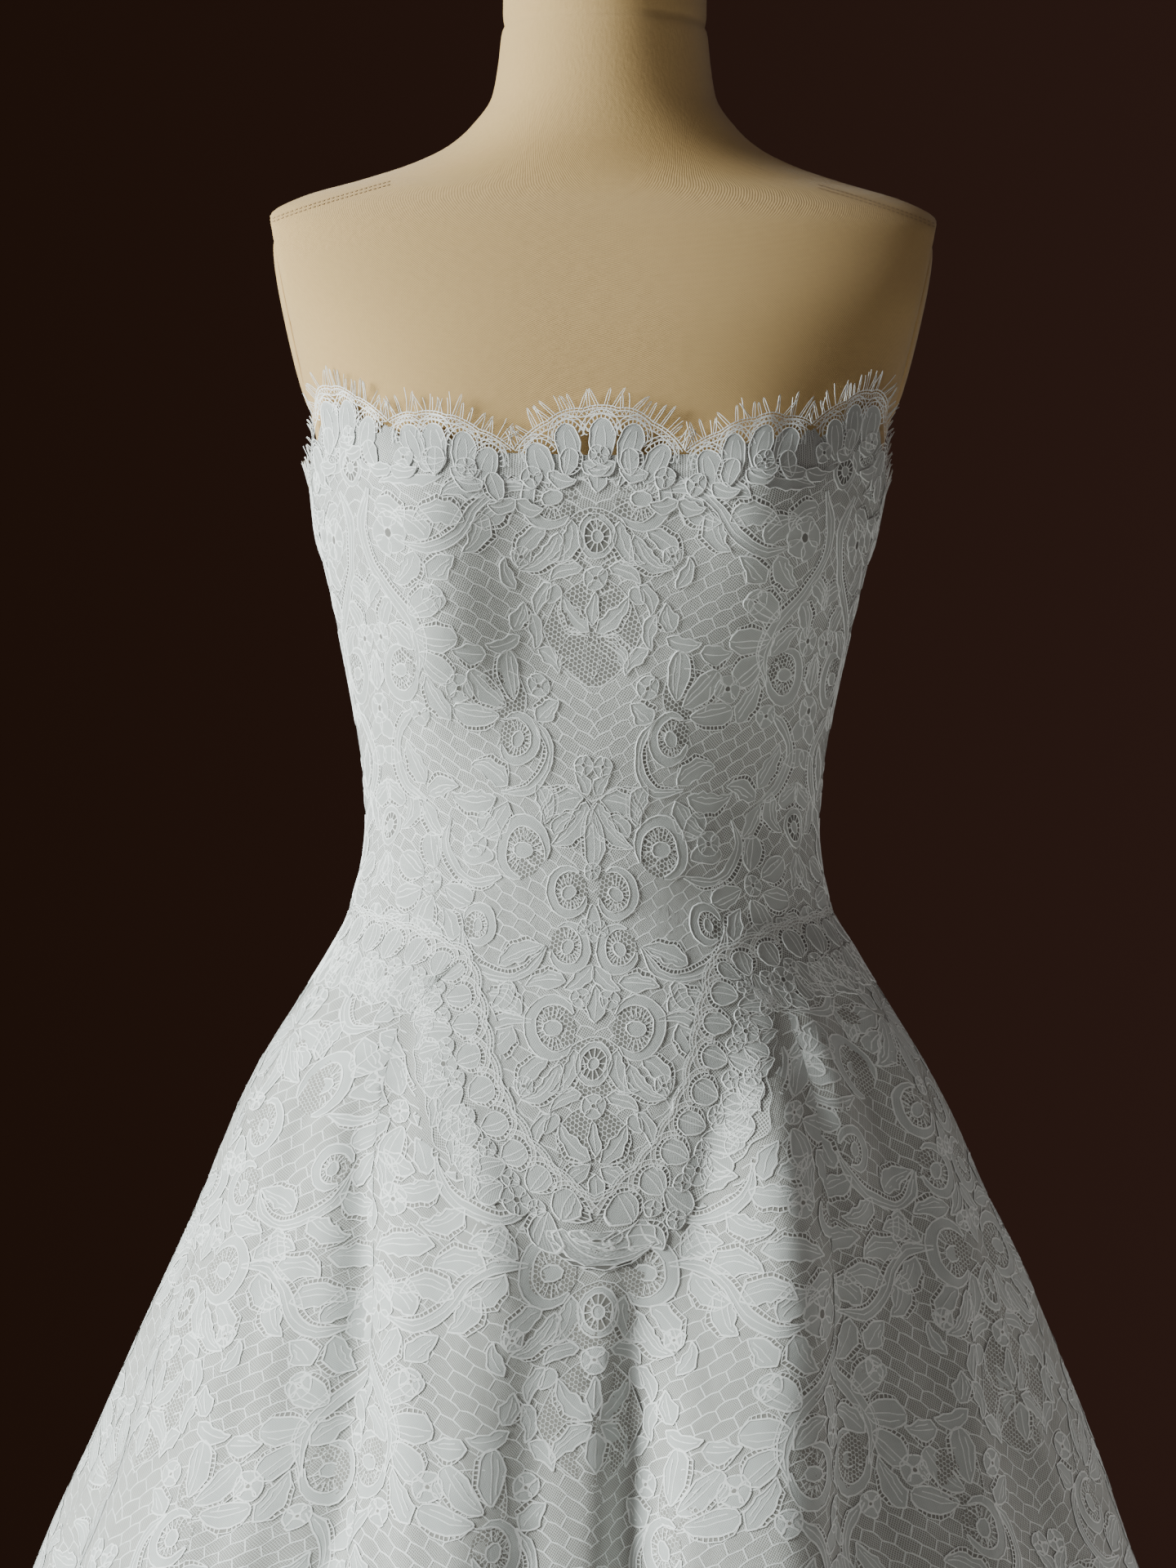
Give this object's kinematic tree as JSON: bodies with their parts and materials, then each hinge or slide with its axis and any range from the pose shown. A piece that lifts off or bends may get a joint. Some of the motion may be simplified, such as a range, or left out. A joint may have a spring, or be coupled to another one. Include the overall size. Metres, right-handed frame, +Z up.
{
  "type": "wedding dress on a dress form",
  "caption": "Strapless wedding dress in corded lace, with a fitted princess-seamed bodice, a pointed dropped waist and a full folded skirt, on a limbless dress form and stand.",
  "frame": {"origin": "on the floor under the middle of the stand's round base", "axes": "+Z up, -Y towards the front of the dress, +X towards the wearer's left"},
  "size_m": [1.0601, 1.0104, 1.5433],
  "materials": {
    "lace": "corded lace, matte",
    "satin": "plain weave with a soft sheen",
    "form_cover": "fine jersey, matte",
    "wood": "oiled",
    "steel": "brushed",
    "painted_steel": "smooth paint"
  },
  "bodies": {
    "root": {"bodice_centre_front": "lace", "bodice_side_front_left": "lace", "bodice_side_front_right": "lace", "bodice_side_back_left": "lace", "bodice_side_back_right": "lace", "bodice_back_left": "lace", "bodice_back_right": "lace", "neck_trim_front": "lace", "neck_trim_left": "lace", "neck_trim_right": "lace", "neck_fringe_front": "lace", "neck_fringe_left": "lace", "neck_fringe_right": "lace", "waist_trim_front_left": "lace", "waist_trim_front_right": "lace", "waist_trim_back_left": "lace", "waist_trim_back_right": "lace", "skirt_lace_front": "lace", "skirt_lace_side_front_left": "lace", "skirt_lace_side_front_right": "lace", "skirt_lace_side_back_left": "lace", "skirt_lace_side_back_right": "lace", "skirt_lace_back_left": "lace", "skirt_lace_back_right": "lace", "back_placket": "lace", "back_button_01": "lace", "back_button_02": "lace", "back_button_03": "lace", "back_button_04": "lace", "back_button_05": "lace", "back_button_06": "lace", "back_button_07": "lace", "back_button_08": "lace", "back_button_09": "lace", "back_button_10": "lace", "back_button_11": "lace", "back_button_12": "lace", "underskirt_front": "satin", "underskirt_left": "satin", "underskirt_right": "satin", "underskirt_back": "satin", "form_torso": "form_cover", "form_armhole_plate_left": "form_cover", "form_armhole_plate_right": "form_cover", "neck_cap": "form_cover", "stand_collar": "wood", "stand_pole": "steel", "stand_base": "painted_steel"}
  },
  "joints": []
}
